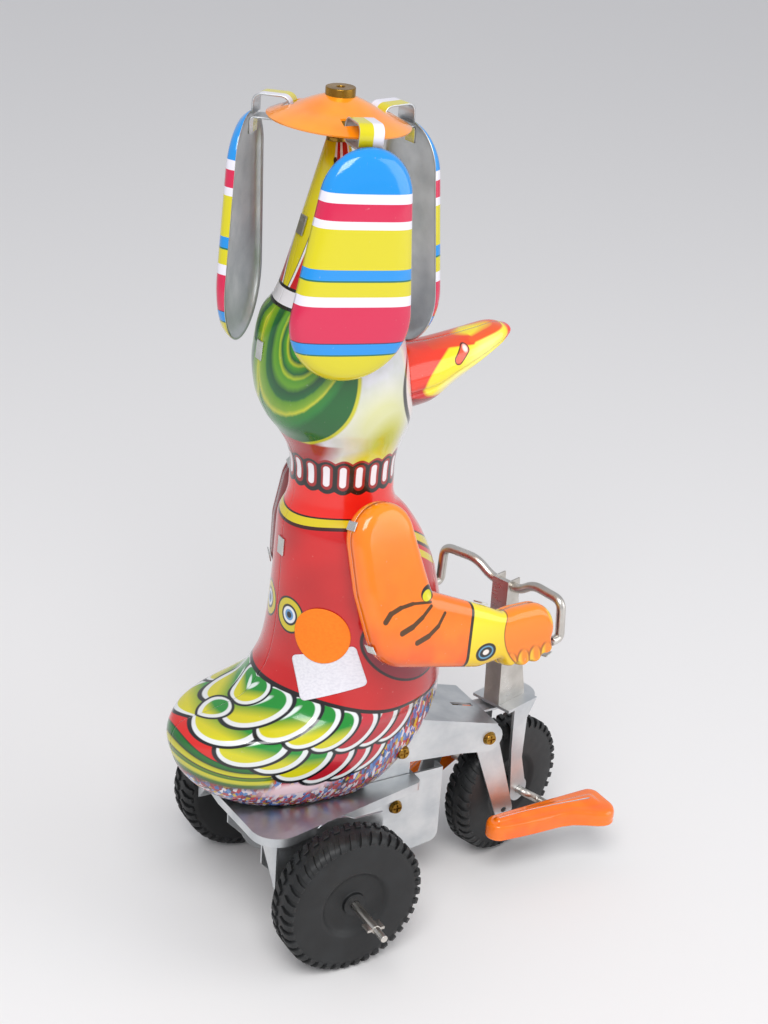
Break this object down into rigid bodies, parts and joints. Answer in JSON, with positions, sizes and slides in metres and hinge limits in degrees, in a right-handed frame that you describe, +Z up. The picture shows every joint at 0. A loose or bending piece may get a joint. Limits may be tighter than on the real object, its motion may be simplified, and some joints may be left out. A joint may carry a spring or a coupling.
{
  "type": "wind-up tin toy",
  "caption": "Wind-up lithographed tin duck riding a tricycle, with a clockwork drive, pedalling feet, steering fork and a whirligig of hinged flaps spinning on its hat",
  "frame": {"origin": "on the floor, straight below the middle of the rear axle", "axes": "+X is forward, +Y is the duck's left, +Z is up"},
  "size_m": [0.1199, 0.0829, 0.21],
  "materials": {
    "printed_tin_body": "glossy lithographed tinplate",
    "printed_tin_arm": "glossy lithographed tinplate",
    "printed_tin_flap": "glossy lithographed tinplate, bare on the inside",
    "disc_enamel": "gloss enamel",
    "orange_enamel": "gloss enamel",
    "tin_tabs": "bare folded tinplate",
    "satin_tin": "satin tinned sheet",
    "bright_steel": "bright wire and turned steel",
    "spring_steel": "blued spring strip",
    "brass": "plain",
    "black_plastic": "satin moulded"
  },
  "bodies": {
    "chassis": {"right_body_shell": "printed_tin_body", "left_body_shell": "printed_tin_body", "body_seam_tabs": "tin_tabs", "hat_bushing": "brass", "platform": "satin_tin", "right_side_plate": "satin_tin", "left_side_plate": "satin_tin", "plate_pillars": "bright_steel", "plate_screws": "brass", "front_frame": "satin_tin", "hip_screws": "brass", "knee_screws": "brass", "spindle_bracket": "satin_tin", "mainspring": "spring_steel", "king_pin": "bright_steel", "king_pin_washer": "bright_steel", "shoulder_pins": "bright_steel"},
    "winding_arbor": {"winding_shaft": "bright_steel", "ratchet_wheel": "brass"},
    "drive_train": {"great_wheel": "brass", "click": "bright_steel", "drive_sleeve": "bright_steel", "left_rear_wheel": "black_plastic"},
    "second_arbor": {"second_arbor": "bright_steel", "second_pinion": "brass", "contrate_wheel": "brass"},
    "propeller": {"propeller_shaft": "bright_steel", "spindle_pinion": "brass", "whirligig_disc": "disc_enamel", "whirligig_hub": "brass"},
    "flap_1": {"flap_1": "printed_tin_flap"},
    "flap_2": {"flap_2": "printed_tin_flap"},
    "flap_3": {"flap_3": "printed_tin_flap"},
    "right_rear_wheel": {"right_rear_wheel": "black_plastic"},
    "steering": {"fork": "satin_tin", "stem": "bright_steel", "handlebar": "bright_steel"},
    "front_wheel": {"front_wheel": "black_plastic", "crank_axle": "bright_steel"},
    "right_foot": {"right_foot": "orange_enamel"},
    "left_foot": {"left_foot": "orange_enamel"},
    "right_leg": {"right_leg_link": "satin_tin"},
    "left_leg": {"left_leg_link": "satin_tin"},
    "right_arm": {"right_arm_outer": "printed_tin_arm", "right_arm_inner": "printed_tin_arm", "arm_seam_tabs_right": "tin_tabs"},
    "left_arm": {"left_arm_outer": "printed_tin_arm", "left_arm_inner": "printed_tin_arm", "arm_seam_tabs_left": "tin_tabs"}
  },
  "joints": [
    {"name": "winding_shaft_spin", "type": "hinge", "parent": "chassis", "child": "winding_arbor", "pos_m": [0, 0, 0.019], "axis": [0, 1, 0], "continuous": true},
    {"name": "drive_spin", "type": "hinge", "parent": "chassis", "child": "drive_train", "pos_m": [0, 0, 0.019], "axis": [0, 1, 0], "continuous": true},
    {"name": "second_arbor_spin", "type": "hinge", "parent": "chassis", "child": "second_arbor", "pos_m": [0.002, 0, 0.0288], "axis": [0, 1, 0], "continuous": true},
    {"name": "propeller_spin", "type": "hinge", "parent": "chassis", "child": "propeller", "pos_m": [0.002, 0, 0.1], "axis": [0, 0, 1], "continuous": true},
    {"name": "flap_1_hinge", "type": "hinge", "parent": "propeller", "child": "flap_1", "pos_m": [0.00035, -0.0139, 0.20362], "axis": [-0.9901, 0.1219, 0.0692], "range_deg": [0, 80]},
    {"name": "flap_2_hinge", "type": "hinge", "parent": "propeller", "child": "flap_2", "pos_m": [0.01584, 0.00219, 0.20253], "axis": [0.1561, -0.9877, -0.0109], "range_deg": [0, 80]},
    {"name": "flap_3_hinge", "type": "hinge", "parent": "propeller", "child": "flap_3", "pos_m": [-0.00817, 0.00955, 0.20421], "axis": [0.6803, 0.7314, -0.0476], "range_deg": [0, 80]},
    {"name": "right_rear_wheel_spin", "type": "hinge", "parent": "chassis", "child": "right_rear_wheel", "pos_m": [0, 0, 0.019], "axis": [0, 1, 0], "continuous": true},
    {"name": "steering_pivot", "type": "hinge", "parent": "chassis", "child": "steering", "pos_m": [0.0623, 0, 0.045], "axis": [0, 0, 1], "range_deg": [-17, 1]},
    {"name": "front_wheel_spin", "type": "hinge", "parent": "steering", "child": "front_wheel", "pos_m": [0.0623, 0, 0.019], "axis": [-0.2924, 0.9563, 0], "continuous": true},
    {"name": "right_foot_pivot", "type": "hinge", "parent": "front_wheel", "child": "right_foot", "pos_m": [0.07118, -0.01402, 0.01569], "axis": [-0.2924, 0.9563, 0], "continuous": true},
    {"name": "left_foot_pivot", "type": "hinge", "parent": "front_wheel", "child": "left_foot", "pos_m": [0.05342, 0.01402, 0.02231], "axis": [-0.2924, 0.9563, 0], "continuous": true},
    {"name": "right_knee_pivot", "type": "hinge", "parent": "chassis", "child": "right_leg", "pos_m": [0.05, -0.0083, 0.041], "axis": [0, -1, 0], "range_deg": [-10.2, 0.6]},
    {"name": "left_knee_pivot", "type": "hinge", "parent": "chassis", "child": "left_leg", "pos_m": [0.05, 0.0083, 0.041], "axis": [0, -1, 0], "range_deg": [-0.6, 10.2]},
    {"name": "right_shoulder_pivot", "type": "hinge", "parent": "chassis", "child": "right_arm", "pos_m": [0.0077, -0.02, 0.1105], "axis": [0.1182, -0.9631, 0.2419], "range_deg": [-6.12, 0.36]},
    {"name": "left_shoulder_pivot", "type": "hinge", "parent": "chassis", "child": "left_arm", "pos_m": [0.0077, 0.02, 0.1105], "axis": [-0.25, -0.933, -0.2588], "range_deg": [-0.36, 6.12]}
  ],
  "couplings": [
    {"joint": "second_arbor_spin", "follows": "drive_spin", "ratio": -3},
    {"joint": "propeller_spin", "follows": "drive_spin", "ratio": 7.2},
    {"joint": "right_foot_pivot", "follows": "front_wheel_spin", "ratio": -1},
    {"joint": "left_foot_pivot", "follows": "front_wheel_spin", "ratio": -1},
    {"joint": "right_knee_pivot", "follows": "steering_pivot", "ratio": 0.6},
    {"joint": "left_knee_pivot", "follows": "steering_pivot", "ratio": -0.6},
    {"joint": "right_shoulder_pivot", "follows": "steering_pivot", "ratio": 0.36},
    {"joint": "left_shoulder_pivot", "follows": "steering_pivot", "ratio": -0.36}
  ]
}
